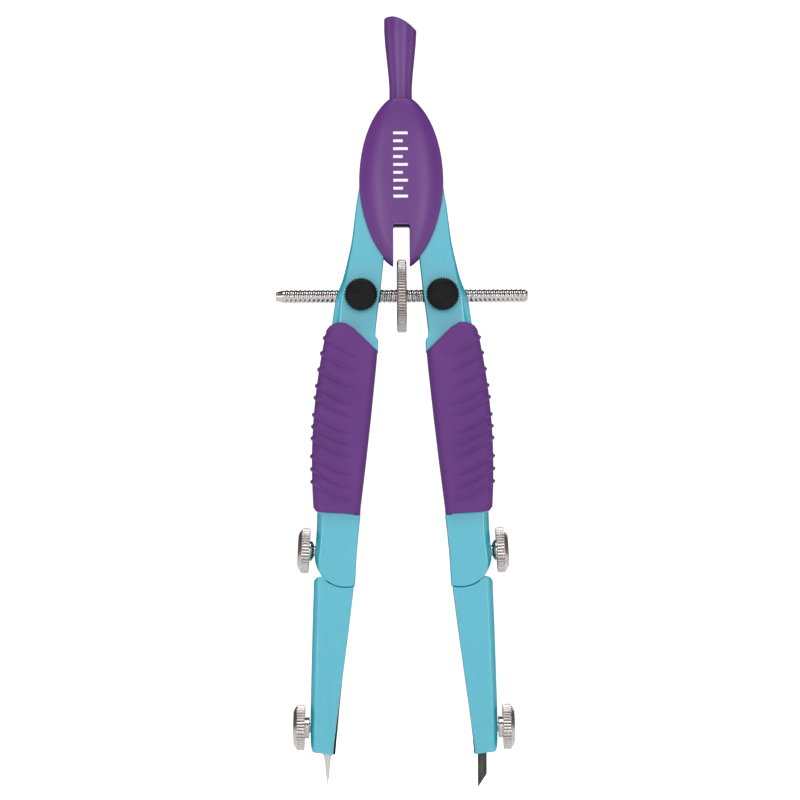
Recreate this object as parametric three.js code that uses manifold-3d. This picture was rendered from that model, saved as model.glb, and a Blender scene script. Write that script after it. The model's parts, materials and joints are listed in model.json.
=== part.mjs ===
// A quick-set bow compass for drawing circles, in millimetres, +Z up, front towards -Y.
//
// Every piece is laid out by its height above the plane of the two tips, and by "out", its distance
// from the centre plane between the legs. The two legs are mirror images apart from their gear teeth
// and their tips: the needle is on the left (-X) and the lead is on the right (+X). The finished group
// is lowered so that its origin is the middle of the finger handle.
import * as THREE from "three";
import { mergeVertices } from "three/addons/utils/BufferGeometryUtils.js";
import Module from "manifold-3d";

const wasm = await Module();
wasm.setup();

// Whole object
const GRIP_HEIGHT = 161; // middle of the finger handle, above the tips
const RUN = 0.1; // gap between pieces that move on each other
const SEAT = 0.05; // gap between pieces that are pressed or screwed together
const TURNED_GAP = 0.3; // gap where a tilted piece passes through a level one
const ROUND = 28; // sides of an ordinary round piece

// Head
const PIVOT = { out: 4, height: 134.2 };
const HEAD = { height: 132.8, halfWidth: 9.35, up: 19.7, down: 18.5, top: 151.4, bottom: 114.95 };
const COVER = { inside: 3.1, edge: 0.9, dome: 1.6, joined: 139.7 };
const WHEEL_SLOT = { halfWidth: 1.83, top: 123.3, corner: 0.45 };
const HANDLE = { bottom: 151.5, neckTop: 154.2, top: 170, neck: 2.43, crown: 3.6, depth: 0.9 };
// The handle's sections between its neck and its crown: [height, half width]
const HANDLE_FLARE = [[157, 2.62], [160.3, 2.95], [164, 3.35], [167, HANDLE.crown]];
const TANG = { halfWidth: 2.2, halfDepth: 2.9, bottom: 140 };
const PIVOT_SCREW = { head: 2.3, shank: 1.5, tip: -4.5, headBottom: 4.25, headTop: 5.45 };
const WASHER = { inner: 1.6, outer: 2.9, front: -2.95, back: -2.6 };

// Gear teeth on the leg heads
const GEAR = { pitch: 4, outer: 4.4, root: 3.4, teethRound: 16, pressure: 20, backlash: 0.1 };
const HEAD_DISC = { radius: 5, upTo: 80 };

// Legs
const LEG_HALF_DEPTH = 3;
const GRIP_HALF_DEPTH = 4.6;
const GRIP_BULGE = { out: 20, height: 70.5, above: 0.0037, below: 0.0035 };
const KNEE = { out: 12.6, height: 50.7, radius: 6.86, seam: 0.16, slot: 1.1, tongue: 1, eye: 2.2 };
const KNEE_PIN = { radius: 1, front: -2.2, back: 2.95 };
// An upper leg's narrower core, inside its grip: [out, height] points down the inner edge and up the outer
const CORE_INNER = [[6.8, 97.5], [7.6, 87.5], [9.4, 71.6], [10.7, 59.8]];
const CORE_OUTER = [[18.1, 60.2], [18.5, 70], [17.6, 84], [16.9, 91.5], [15.1, 101.7]];
// The grip's ribs are closer together below: their heights where they leave the outer edge
const RIB_HEIGHTS = [98.9, 95.5, 91.9, 88.3, 85.7, 81.9, 79.3, 76.7, 72.7, 69.9, 67.1];
const RIB = { length: 9.3, drop: 3.6, bend: 3.5, thick: 0.9, raised: 0.25, proud: 0.4 };
const POCKET = { halfDepth: 1.7, out: 18.9, top: 27.2 };

// Spindle and its nuts
const SPINDLE = { height: 108.1, radius: 1.5, halfLength: 27.8, play: 0.15 };
const WHEEL = { radius: 8.05, halfWidth: 1.05, edge: 0.35 };
const NUT_OUT = 8.98;
const BARREL = { radius: 3, bore: 2.45, cross: 1.7, front: -3.5, flange: 3.3, screwed: 2.8, back: 3.9 };
const PLUNGER = { radius: 2.35, front: -5.8, back: 2.3, slotFront: -2.7, slotBack: 1.6, slotHalf: 1.62 };
const BUTTON = { radius: 3.55, front: -6.55, back: -4.6, dome: 0.35 };
const BACK_CAP = { radius: 3.55, front: 3.1, back: 4.9, inside: 4.4 };
const SPRING = { radius: 1.65, wire: 0.18, front: 2.65, back: 4.15, turns: 2 };
const SWING_IN = 6; // degrees that a leg turns in, from the drawn position
const SWING_OUT = 32;

// Tips
const NEEDLE = { out: 16.8, shank: 1, stem: 0.39, point: 0.17 };
const LEAD = { out: 17.15, radius: 1 };
const TIP_BORE = { radius: 1.12, top: 25.5 };
const TIP_TOP = 25;

// Thumb screws: where the axis meets the leg's edge, its tilt in degrees, and the radii of the pieces along it
const KNEE_SCREW = {
  out: 19.4,
  height: 51.85,
  tilt: 3,
  nose: 0.9,
  thread: 1.2,
  neck: 1.45,
  boss: 2.35,
  head: 4.9,
};
const CLAMP_SCREW = { out: 20.5, height: 13.1, tilt: 1.2, thread: 1.1, boss: 2.45, head: 4.95 };

// Finishes: colour, roughness, metalness
const FINISH = {
  violet: { color: 0x6e4488, roughness: 0.45, metalness: 0 },
  soft: { color: 0x673d7e, roughness: 0.65, metalness: 0 },
  lacquer: { color: 0x6fc1d3, roughness: 0.4, metalness: 0.3 },
  nickel: { color: 0xbfb6b4, roughness: 0.25, metalness: 1 },
  brass: { color: 0xb59a5a, roughness: 0.35, metalness: 1 },
  black: { color: 0x262524, roughness: 0.5, metalness: 0 },
  steel: { color: 0xd8d2ce, roughness: 0.2, metalness: 1 },
  graphite: { color: 0x49494a, roughness: 0.6, metalness: 0.2 },
};

// ---------------------------------------------------------------- solids

// A closed three.js geometry as a manifold solid.
function solid(geometry) {
  const bare = geometry.clone().deleteAttribute("normal").deleteAttribute("uv");
  const merged = mergeVertices(bare, 1e-4);
  return new wasm.Manifold(
    new wasm.Mesh({
      numProp: 3,
      vertProperties: new Float32Array(merged.attributes.position.array),
      triVerts: new Uint32Array(merged.index.array),
    }),
  );
}

// A manifold solid as a three.js geometry.
function geometryOf(made) {
  const mesh = made.getMesh();
  const geometry = new THREE.BufferGeometry();
  geometry.setAttribute("position", new THREE.BufferAttribute(mesh.vertProperties, 3));
  geometry.setIndex(new THREE.BufferAttribute(mesh.triVerts, 1));
  geometry.computeVertexNormals();
  return geometry;
}

// A flat outline through [out, height] points.
function outline(points) {
  return new THREE.Shape(points.map(([out, height]) => new THREE.Vector2(out, height)));
}

// An outline in the front view, made solid between two depths (front is the smaller y).
function slab(shape, front, back) {
  const geometry = new THREE.ExtrudeGeometry(shape, {
    depth: back - front,
    bevelEnabled: false,
    curveSegments: 10,
  });
  return solid(geometry.rotateX(Math.PI / 2).translate(0, back, 0));
}

// A block between two corners.
function block([x0, y0, z0], [x1, y1, z1]) {
  const geometry = new THREE.BoxGeometry(x1 - x0, y1 - y0, z1 - z0);
  return solid(geometry.translate((x0 + x1) / 2, (y0 + y1) / 2, (z0 + z1) / 2));
}

// A round bar along the depth, at a place in the front view.
function barDeep(radius, front, back, out, height, sides = ROUND) {
  const geometry = new THREE.CylinderGeometry(radius, radius, back - front, sides);
  return solid(geometry.translate(out, (front + back) / 2, height));
}

// A round bar across, from one "out" to another.
function barAcross(radius, from, to, height, sides = ROUND) {
  const geometry = new THREE.CylinderGeometry(radius, radius, to - from, sides);
  return solid(geometry.rotateZ(Math.PI / 2).translate((from + to) / 2, 0, height));
}

// A piece turned on a lathe, from [radius, along] points that start and end on the axis.
function turned(profile, sides = ROUND) {
  const points = profile.map(([radius, along]) => new THREE.Vector2(radius, along));
  return new THREE.LatheGeometry(points, sides);
}

const turnedUp = (profile, sides) => solid(turned(profile, sides).rotateX(Math.PI / 2));
const turnedAcross = (profile, sides) => solid(turned(profile, sides).rotateZ(-Math.PI / 2));
const turnedDeep = (profile, sides) => solid(turned(profile, sides));

// A skin over rings of equally many points, closed by a flat fan at each end.
function loft(rings) {
  const around = rings[0].length;
  const positions = rings.flat().flatMap((point) => point);
  const index = [];
  for (let r = 0; r + 1 < rings.length; r++) {
    for (let k = 0; k < around; k++) {
      const a = r * around + k;
      const b = r * around + ((k + 1) % around);
      index.push(a, b, b + around, a, b + around, a + around);
    }
  }
  const last = (rings.length - 1) * around;
  for (let k = 1; k + 1 < around; k++) {
    index.push(0, k + 1, k, last, last + k, last + k + 1);
  }
  const geometry = new THREE.BufferGeometry();
  geometry.setAttribute("position", new THREE.Float32BufferAttribute(positions, 3));
  geometry.setIndex(index);
  return solid(geometry);
}

// One named piece with a material of its own.
function piece(name, made, finish) {
  const mesh = new THREE.Mesh(geometryOf(made), new THREE.MeshStandardMaterial(FINISH[finish]));
  mesh.name = name;
  return mesh;
}

// ---------------------------------------------------------------- head

// Half the head's width at a height: two half ovals, fuller above than below.
function headHalfWidth(height) {
  const above = height > HEAD.height;
  const way = Math.abs(height - HEAD.height) / (above ? HEAD.up : HEAD.down);
  const [lengthwise, across] = above ? [2.1, 1.7] : [1.7, 1.9];
  return HEAD.halfWidth * (1 - way ** lengthwise) ** (1 / across);
}

// Heights of the head's sections, closer together towards both ends.
function headHeights(count) {
  const middle = (HEAD.top + HEAD.bottom) / 2;
  const reach = (HEAD.top - HEAD.bottom) / 2;
  return Array.from({ length: count }, (_, i) => middle - reach * Math.cos((Math.PI * i) / (count - 1)));
}

// The domed plate of one cover: flat inside, an arch outside. face is -1 in front and 1 behind.
function coverDome(face) {
  const steps = 10;
  const rings = headHeights(18).map((height) => {
    const half = headHalfWidth(height);
    const rise = COVER.dome * Math.sqrt(half / HEAD.halfWidth);
    const ring = [[half, face * COVER.inside, height]];
    for (let k = 0; k <= steps; k++) {
      const turn = (Math.PI * k) / steps;
      const depth = COVER.inside + COVER.edge + rise * Math.sin(turn) ** 0.8;
      ring.push([half * Math.cos(turn), face * depth, height]);
    }
    ring.push([-half, face * COVER.inside, height]);
    return face > 0 ? ring : ring.reverse();
  });
  return loft(rings);
}

// The block that joins the two covers above the leg heads, with a channel for the handle's tang.
function coverWall(face) {
  const heights = headHeights(18).filter((height) => height > COVER.joined);
  const side = [COVER.joined, ...heights].map((height) => [headHalfWidth(height) - SEAT, height]);
  const other = side.map(([out, height]) => [-out, height]).reverse();
  const [front, back] = face < 0 ? [-COVER.inside - SEAT, -SEAT] : [SEAT, COVER.inside + SEAT];
  const channel = TANG.halfWidth + RUN;
  const tang = block([-channel, -TANG.halfDepth - SEAT, 0], [channel, TANG.halfDepth + SEAT, GRIP_HEIGHT]);
  return slab(outline([...side, ...other]), front, back).subtract(tang);
}

// The slot that the centre wheel turns in: open below, with small round corners at its top.
function wheelSlot() {
  const { halfWidth, top, corner } = WHEEL_SLOT;
  const shape = new THREE.Shape();
  shape.moveTo(-halfWidth, 0);
  shape.lineTo(halfWidth, 0);
  shape.lineTo(halfWidth, top - corner);
  shape.absarc(halfWidth - corner, top - corner, corner, 0, Math.PI / 2);
  shape.absarc(corner - halfWidth, top - corner, corner, Math.PI / 2, Math.PI);
  return slab(shape, -10, 10);
}

function headCover(face) {
  let cover = coverDome(face).add(coverWall(face)).subtract(wheelSlot());
  for (const side of [-1, 1]) {
    const out = side * PIVOT.out;
    if (face < 0) {
      cover = cover.subtract(
        barDeep(PIVOT_SCREW.shank + SEAT, PIVOT_SCREW.tip - SEAT, 0, out, PIVOT.height),
      );
    } else {
      cover = cover
        .subtract(barDeep(PIVOT_SCREW.shank + RUN, 0, 10, out, PIVOT.height))
        .subtract(barDeep(PIVOT_SCREW.head + RUN, PIVOT_SCREW.headBottom - SEAT, 10, out, PIVOT.height));
    }
  }
  return cover;
}

// A slotted shoulder screw from behind, through the leg head into the front cover.
function pivotScrew(out) {
  const { head, shank, tip, headBottom, headTop } = PIVOT_SCREW;
  const slot = block([out - 3, headTop - 0.5, PIVOT.height - 0.3], [out + 3, 10, PIVOT.height + 0.3]);
  return barDeep(shank, tip, headBottom + SEAT, out, PIVOT.height)
    .add(barDeep(head, headBottom, headTop, out, PIVOT.height))
    .subtract(slot);
}

// The finger handle: an oval stem that widens upwards, a slanting crown, and a flat tang below.
function handle() {
  const around = 24;
  const sections = [
    [HANDLE.bottom, HANDLE.neck],
    [HANDLE.neckTop, HANDLE.neck],
    ...HANDLE_FLARE,
    [HANDLE.top + 1, HANDLE.crown],
  ];
  const rings = sections.map(([height, half]) =>
    Array.from({ length: around }, (_, k) => {
      const turn = (2 * Math.PI * k) / around;
      return [half * Math.cos(turn), half * HANDLE.depth * Math.sin(turn), height];
    }),
  );
  const crown = new THREE.Shape();
  crown.moveTo(-5, TANG.bottom);
  crown.lineTo(5, TANG.bottom);
  crown.lineTo(5, HANDLE.top - 5);
  crown.lineTo(HANDLE.crown, HANDLE.top - 3);
  crown.quadraticCurveTo(1.6, HANDLE.top - 1.1, -1.2, HANDLE.top - 0.15);
  crown.quadraticCurveTo(-1.9, HANDLE.top + 0.1, -3.1, HANDLE.top - 0.1);
  crown.lineTo(-5, HANDLE.top - 0.7);
  const tang = block(
    [-TANG.halfWidth, -TANG.halfDepth, TANG.bottom],
    [TANG.halfWidth, TANG.halfDepth, HANDLE.bottom - SEAT],
  );
  const stem = block([-2, -2, HANDLE.bottom - 1], [2, 2, HANDLE.bottom + 1]);
  return loft(rings).intersect(slab(crown, -10, 10)).add(tang).add(stem);
}

// ---------------------------------------------------------------- legs

// A point at an angle round the pivot, in degrees from straight out.
function roundPivot(radius, angle) {
  const turn = (angle * Math.PI) / 180;
  return [PIVOT.out + radius * Math.cos(turn), PIVOT.height + radius * Math.sin(turn)];
}

// Half the angle that an involute tooth covers at a radius, in degrees.
function toothHalfAngle(radius) {
  const involute = (angle) => Math.tan(angle) - angle;
  const pressure = (GEAR.pressure * Math.PI) / 180;
  const base = GEAR.pitch * Math.cos(pressure);
  const atPitch = Math.PI / (2 * GEAR.teethRound) - GEAR.backlash / 2 / GEAR.pitch;
  const here = Math.acos(Math.min(1, base / radius));
  return ((atPitch + involute(pressure) - involute(here)) * 180) / Math.PI;
}

// The toothed edge of a leg head, round from above to below, with a tooth at each of the angles.
function toothedEdge(toothAngles) {
  const flank = [GEAR.root, 3.8, 4.1, GEAR.outer];
  return toothAngles.flatMap((centre) => [
    ...flank.map((radius) => roundPivot(radius, centre - toothHalfAngle(radius))),
    ...flank.map((radius) => roundPivot(radius, centre + toothHalfAngle(radius))).reverse(),
  ]);
}

// The left and right heads' teeth are half a pitch apart, so that they mesh.
function toothAngles(side) {
  const pitch = 360 / GEAR.teethRound;
  const shifts = side > 0 ? [2, 1, 0, -1] : [2.5, 1.5, 0.5, -0.5, -1.5];
  return shifts.map((shift) => 180 - shift * pitch);
}

// The upper leg's front view: toothed head, blade, the narrower core inside the grip, and the round knee.
function upperLegOutline(side) {
  const disc = [0, 16, 32, 48, 64, HEAD_DISC.upTo].map((angle) => roundPivot(HEAD_DISC.radius, angle));
  const inner = [
    [2.3, 131.26],
    [3.98, 116],
    [4.76, 108.7],
    [5.31, 104.8],
    [5.93, 99.4],
    [5.24, 98.1],
    [5.2, 96.1],
    ...CORE_INNER,
    [9.4, 59],
    [10.2, 51.2],
    [10.62, 46.8],
  ];
  const outer = [
    [19.2, 53],
    [18.87, 59.6],
    ...CORE_OUTER,
    [15.3, 102.6],
    [14.6, 107.4],
    [12.88, 111.4],
    [11.26, 118.3],
    [10.07, 127.1],
    [9.4, 131.3],
  ];
  const knee = [-100, -86, -72, -58, -44, -30, -15, 0].map((angle) => {
    const turn = (angle * Math.PI) / 180;
    return [KNEE.out + KNEE.radius * Math.cos(turn), KNEE.height + KNEE.radius * Math.sin(turn)];
  });
  const teeth = [roundPivot(GEAR.root, HEAD_DISC.upTo), ...toothedEdge(toothAngles(side))];
  return outline([...disc, ...teeth, ...inner, ...knee, ...outer]);
}

// The opening that lets the spindle pass through a leg at every angle between closed and open.
function spindleWindow() {
  const half = SPINDLE.radius + SPINDLE.play;
  const angles = [SWING_IN, (SWING_IN - SWING_OUT) / 2, -SWING_OUT];
  const bars = angles.map((angle) => {
    const geometry = new THREE.BoxGeometry(16, 2 * half, 2 * half);
    geometry.rotateY((-angle * Math.PI) / 180);
    return solid(geometry.translate(NUT_OUT, 0, SPINDLE.height));
  });
  return wasm.Manifold.union(bars);
}

function upperLeg(side) {
  const kneeSlot = outline([[8, 53.4], [14.5, 53.4], [17.2, 52.9], [17.2, 40], [8, 40]]);
  const { out, height } = PIVOT;
  return slab(upperLegOutline(side), -LEG_HALF_DEPTH, LEG_HALF_DEPTH)
    .subtract(barDeep(PIVOT_SCREW.shank + RUN, -5, 5, out, height))
    .subtract(barDeep(WASHER.outer + SEAT, -5, WASHER.back + SEAT, out, height))
    .subtract(barDeep(BARREL.radius + RUN, -5, 5, NUT_OUT, SPINDLE.height))
    .subtract(spindleWindow())
    .subtract(slab(kneeSlot, -KNEE.slot, KNEE.slot))
    .subtract(barDeep(KNEE_PIN.radius + SEAT, KNEE_PIN.front - SEAT, 5, KNEE.out, KNEE.height))
    .subtract(placed(barAcross(KNEE_SCREW.thread + TURNED_GAP, -3, 4, 0), KNEE_SCREW));
}

function frictionWasher() {
  const { inner, outer, front, back } = WASHER;
  const hole = barDeep(inner, front - 1, back + 1, PIVOT.out, PIVOT.height);
  return barDeep(outer, front, back, PIVOT.out, PIVOT.height).subtract(hole);
}

// The bulging outer edge of the grip, fullest at the height of GRIP_BULGE.
function gripEdge(height) {
  const { out, height: fullest, above, below } = GRIP_BULGE;
  return out - (height > fullest ? above : below) * (height - fullest) ** 2;
}

// The soft sleeve round the upper leg, in the front view, without its ribs.
function gripOutline() {
  const inner = [[5.4, 95.8], [5.8, 91.5], [6.92, 80.9], [7.99, 71.6], [9.31, 61], [9.35, 59.9]];
  const lower = [[18.6, 60.4], [19.5, 61]];
  const edge = Array.from({ length: 12 }, (_, i) => THREE.MathUtils.lerp(62.6, 100.8, i / 11));
  const top = [[16.2, 101.8], [12.3, 102], [11.9, 101.6]];
  return outline([...inner, ...lower, ...edge.map((height) => [gripEdge(height), height]), ...top]);
}

// One raised rib: it rises from the inner side of the grip to a small tooth on its outer edge.
function gripRib(height) {
  const edge = gripEdge(height) + RIB.proud;
  const middle = [
    [edge - RIB.length, height - RIB.drop],
    [edge - RIB.bend, height - RIB.drop / 2],
    [edge, height],
  ];
  const upper = middle.map(([out, level]) => [out, level + RIB.thick / 2]);
  const lower = middle.map(([out, level]) => [out, level - RIB.thick / 2]).reverse();
  return slab(outline([...upper, ...lower]), -GRIP_HALF_DEPTH, GRIP_HALF_DEPTH);
}

function grip() {
  const inner = [[CORE_INNER[0][0], 103], ...CORE_INNER, [CORE_INNER.at(-1)[0], 59]];
  const outer = [[CORE_OUTER[0][0], 59], ...CORE_OUTER, [CORE_OUTER.at(-1)[0] + 0.15, 103]];
  const core = outline([
    ...inner.map(([out, height]) => [out - RUN, height]),
    ...outer.map(([out, height]) => [out + RUN, height]),
  ]);
  const depth = GRIP_HALF_DEPTH - RIB.raised;
  let sleeve = slab(gripOutline(), -depth, depth);
  for (const height of RIB_HEIGHTS) sleeve = sleeve.add(gripRib(height));
  return sleeve.subtract(slab(core, -LEG_HALF_DEPTH - RUN, LEG_HALF_DEPTH + RUN));
}

// The shin's front view: the knee's hollow seat above, and a slanting foot.
function lowerLegOutline() {
  const seat = [-100, -88, -76, -64, -52, -41].map((angle) => {
    const turn = (angle * Math.PI) / 180;
    const radius = KNEE.radius + KNEE.seam;
    return [KNEE.out + radius * Math.cos(turn), KNEE.height + radius * Math.sin(turn)];
  });
  const corner = [[18.8, 45.9], [19.47, 45], [19.65, 44.6]];
  const outer = [[20.09, 31.3], [20.53, 13.6], [20.46, 9.2], [20.2, 7.4]];
  const inner = [[15.6, 6.75], [15.4, 9.2], [14.25, 18], [13.05, 26.9]];
  return outline([...seat, ...corner, ...outer, ...inner]);
}

function lowerLeg() {
  const tongue = outline([[11.6, 43], [10.5, 49.5], [10.5, 50.7], [14.7, 50.7], [16.9, 45.6], [16.9, 43]]);
  const pocket = outline([[5, 0], [POCKET.out, 0], [POCKET.out, POCKET.top], [5, POCKET.top]]);
  return slab(lowerLegOutline(), -LEG_HALF_DEPTH, LEG_HALF_DEPTH)
    .add(slab(tongue, -KNEE.tongue, KNEE.tongue))
    .add(barDeep(KNEE.eye, -KNEE.tongue, KNEE.tongue, KNEE.out, KNEE.height))
    .subtract(barDeep(KNEE_PIN.radius + SEAT, -5, 5, KNEE.out, KNEE.height))
    .subtract(slab(pocket, -POCKET.halfDepth, POCKET.halfDepth))
    .subtract(placed(barAcross(CLAMP_SCREW.thread + TURNED_GAP, -3, 3, 0), CLAMP_SCREW));
}

function kneePin() {
  return barDeep(KNEE_PIN.radius, KNEE_PIN.front, KNEE_PIN.back, KNEE.out, KNEE.height);
}

// ---------------------------------------------------------------- spindle and nuts

// Turned from [radius, along]; along runs from the left end to the right.
function spindle() {
  const { radius, halfLength, height } = SPINDLE;
  const profile = [
    [0, -halfLength],
    [1, -halfLength],
    [1.3, 1.6 - halfLength],
    [radius, 2.4 - halfLength],
    [radius, halfLength - 0.6],
    [1, halfLength],
    [0, halfLength],
  ];
  return turnedAcross(profile, 20).translate([0, 0, height]);
}

function centreWheel() {
  const { radius, halfWidth, edge } = WHEEL;
  const profile = [
    [0, -halfWidth],
    [radius - edge, -halfWidth],
    [radius, edge - halfWidth],
    [radius, halfWidth - edge],
    [radius - edge, halfWidth],
    [0, halfWidth],
  ];
  const bore = barAcross(SPINDLE.radius + SEAT, -2, 2, 0, 20);
  return turnedAcross(profile, 44).subtract(bore).translate([0, 0, SPINDLE.height]);
}

// The swivel barrel: flanged in front, threaded for its cap behind, with a cross hole for the spindle.
function trunnion() {
  const { radius, bore, cross, front, flange, screwed, back } = BARREL;
  const profile = [
    [0, front],
    [flange, front],
    [flange, front + 0.4],
    [radius, front + 0.4],
    [radius, LEG_HALF_DEPTH + SEAT],
    [screwed, LEG_HALF_DEPTH + SEAT],
    [screwed, back],
    [0, back],
  ];
  return turnedDeep(profile)
    .subtract(barDeep(bore, -9, 9, 0, 0))
    .subtract(barAcross(cross, -9, 9, 0))
    .translate([NUT_OUT, 0, SPINDLE.height]);
}

// The plunger: one side of its cross slot carries the half thread, and a push backwards frees the spindle.
function halfNut() {
  const { radius, front, back, slotFront, slotBack, slotHalf } = PLUNGER;
  return barDeep(radius, front, back, 0, 0)
    .subtract(block([-9, slotFront, -slotHalf], [9, slotBack, slotHalf]))
    .translate([NUT_OUT, 0, SPINDLE.height]);
}

function releaseButton() {
  const { radius, front, back, dome } = BUTTON;
  const profile = [
    [0, front],
    [radius * 0.6, front + dome * 0.3],
    [radius - 0.4, front + dome],
    [radius, front + dome + 0.3],
    [radius, back],
    [0, back],
  ];
  return turnedDeep(profile, 32)
    .subtract(barDeep(PLUNGER.radius + SEAT, PLUNGER.front - SEAT, 0, 0, 0))
    .translate([NUT_OUT, 0, SPINDLE.height]);
}

function backCap() {
  const { radius, front, back, inside } = BACK_CAP;
  const profile = [[0, front], [radius, front], [radius, back - 0.3], [radius - 0.3, back], [0, back]];
  return turnedDeep(profile, 32)
    .subtract(barDeep(BARREL.screwed + SEAT, 0, BARREL.back + SEAT, 0, 0))
    .subtract(barDeep(BARREL.bore + SEAT, 0, inside, 0, 0))
    .translate([NUT_OUT, 0, SPINDLE.height]);
}

// A coil spring behind the plunger, wound as a helix.
class Helix extends THREE.Curve {
  getPoint(t) {
    const turn = 2 * Math.PI * SPRING.turns * t;
    const along = SPRING.front + (SPRING.back - SPRING.front) * t;
    return new THREE.Vector3(SPRING.radius * Math.cos(turn), along, SPRING.radius * Math.sin(turn));
  }
}

function buttonSpring() {
  const wire = new THREE.Shape();
  wire.absarc(0, 0, SPRING.wire, 0, 2 * Math.PI);
  const geometry = new THREE.ExtrudeGeometry(wire, {
    steps: 12 * SPRING.turns,
    curveSegments: 3,
    extrudePath: new Helix(),
  });
  return solid(geometry.translate(NUT_OUT, 0, SPINDLE.height));
}

// ---------------------------------------------------------------- screws and tips

// Puts a piece made round the origin, pointing outwards, at a screw's seat.
function placed(made, { out, height, tilt }) {
  return made.rotate([0, -tilt, 0]).translate([out, 0, height]);
}

// Nose, thread, coned neck and head, from [radius, along] with the leg's edge at 0.
function kneeScrew() {
  const { nose, thread, neck, boss, head } = KNEE_SCREW;
  const profile = [
    [0, -4.4],
    [nose, -4.4],
    [nose, -2.5],
    [thread, -2.4],
    [thread, 0.1],
    [neck, 0.1],
    [boss, 1.2],
    [head, 1.2],
    [head, 2.9],
    [head - 1.3, 3.7],
    [0, 4],
  ];
  return placed(turnedAcross(profile), KNEE_SCREW);
}

// Thread, straight boss and head, from [radius, along] with the leg's edge at 0.
function clampScrew() {
  const { thread, boss, head } = CLAMP_SCREW;
  const profile = [
    [0, -2.1],
    [thread, -1.8],
    [thread, 0.25],
    [boss, 0.25],
    [boss, 1.25],
    [head, 1.25],
    [head, 3],
    [head - 1.25, 3.75],
    [0, 4.05],
  ];
  return placed(turnedAcross(profile), CLAMP_SCREW);
}

// The plastic block in the shin's pocket, bored for a tip and for its clamp screw.
function tipInsert(tipOut) {
  const outer = POCKET.out - RUN;
  const innerEdge = [[13.1, 27], [14.1, 18], [15.02, 8.2], [15.1, 6.8]];
  const shape = outline([...innerEdge, [outer, 7.2], [outer, 27]]);
  const bore = solid(
    new THREE.CylinderGeometry(TIP_BORE.radius, TIP_BORE.radius, TIP_BORE.top, 20)
      .rotateX(Math.PI / 2)
      .translate(tipOut, 0, TIP_BORE.top / 2),
  );
  return slab(shape, RUN - POCKET.halfDepth, POCKET.halfDepth - RUN)
    .subtract(bore)
    .subtract(placed(barAcross(CLAMP_SCREW.thread + TURNED_GAP, -3.3, 3, 0), CLAMP_SCREW));
}

// Turned from [radius, height]: a shank, a shoulder, a slim stem and the fine point.
function needle() {
  const { out, shank, stem, point } = NEEDLE;
  const profile = [
    [0, 0],
    [point, 0.5],
    [point, 1.7],
    [stem, 2],
    [stem, 3],
    [0.78, 6],
    [shank, 6.9],
    [shank, TIP_TOP],
    [0, TIP_TOP],
  ];
  return turnedUp(profile, 20).translate([out, 0, 0]);
}

// A 2 mm lead ground to one flat bevel, with its point on the inner side.
function lead() {
  const { out, radius } = LEAD;
  const rod = solid(
    new THREE.CylinderGeometry(radius, radius, TIP_TOP, 20)
      .rotateX(Math.PI / 2)
      .translate(out, 0, TIP_TOP / 2),
  );
  const point = out - radius + 0.08;
  const ground = outline([[point, -1], [point, 0], [out + radius + 0.1, 3], [out + 2 * radius, -1]]);
  return rod.subtract(slab(ground, -3, 3));
}

// ---------------------------------------------------------------- assembly

function head() {
  const group = new THREE.Group();
  group.add(
    piece("front_head_cover", headCover(-1), "violet"),
    piece("rear_head_cover", headCover(1), "violet"),
    piece("handle", handle(), "violet"),
    piece("left_pivot_screw", pivotScrew(-PIVOT.out), "nickel"),
    piece("right_pivot_screw", pivotScrew(PIVOT.out), "nickel"),
  );
  return group;
}

// Everything that the two sides share, drawn on the right and mirrored for the left.
function legSide(name, side, tipOut) {
  const group = new THREE.Group();
  group.scale.x = side;
  const pieces = [
    ["friction_washer", frictionWasher(), "brass"],
    ["upper_leg", upperLeg(side), "lacquer"],
    ["grip", grip(), "soft"],
    ["knee_pin", kneePin(), "steel"],
    ["lower_leg", lowerLeg(), "lacquer"],
    ["tip_insert", tipInsert(tipOut), "black"],
    ["knee_screw", kneeScrew(), "nickel"],
    ["clamp_screw", clampScrew(), "nickel"],
    ["trunnion", trunnion(), "brass"],
    ["half_nut", halfNut(), "brass"],
    ["button_spring", buttonSpring(), "steel"],
    ["release_button", releaseButton(), "black"],
    ["back_cap", backCap(), "black"],
  ];
  for (const [part, made, finish] of pieces) group.add(piece(`${name}_${part}`, made, finish));
  return group;
}

const needleLeg = legSide("left", -1, NEEDLE.out);
needleLeg.add(piece("needle", needle(), "steel"));

const leadLeg = legSide("right", 1, LEAD.out);
leadLeg.add(piece("lead", lead(), "graphite"));

const drive = new THREE.Group();
drive.add(piece("spindle", spindle(), "nickel"), piece("centre_wheel", centreWheel(), "nickel"));

const compass = new THREE.Group();
compass.name = "drawing_compass";
compass.add(head(), needleLeg, leadLeg, drive);
compass.position.z = -GRIP_HEIGHT;

export default compass;
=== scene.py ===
"""Looks for a quick-set bow compass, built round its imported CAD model.

Until a mesh is made, lengths are millimetres: x is across, y is depth (the front is negative) and h
is the height above the plane of the two tips. The right leg is drawn, and the left one is its mirror
image.
"""
import json
import math

import bmesh
import bpy
from mathutils import Matrix, Vector


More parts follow.
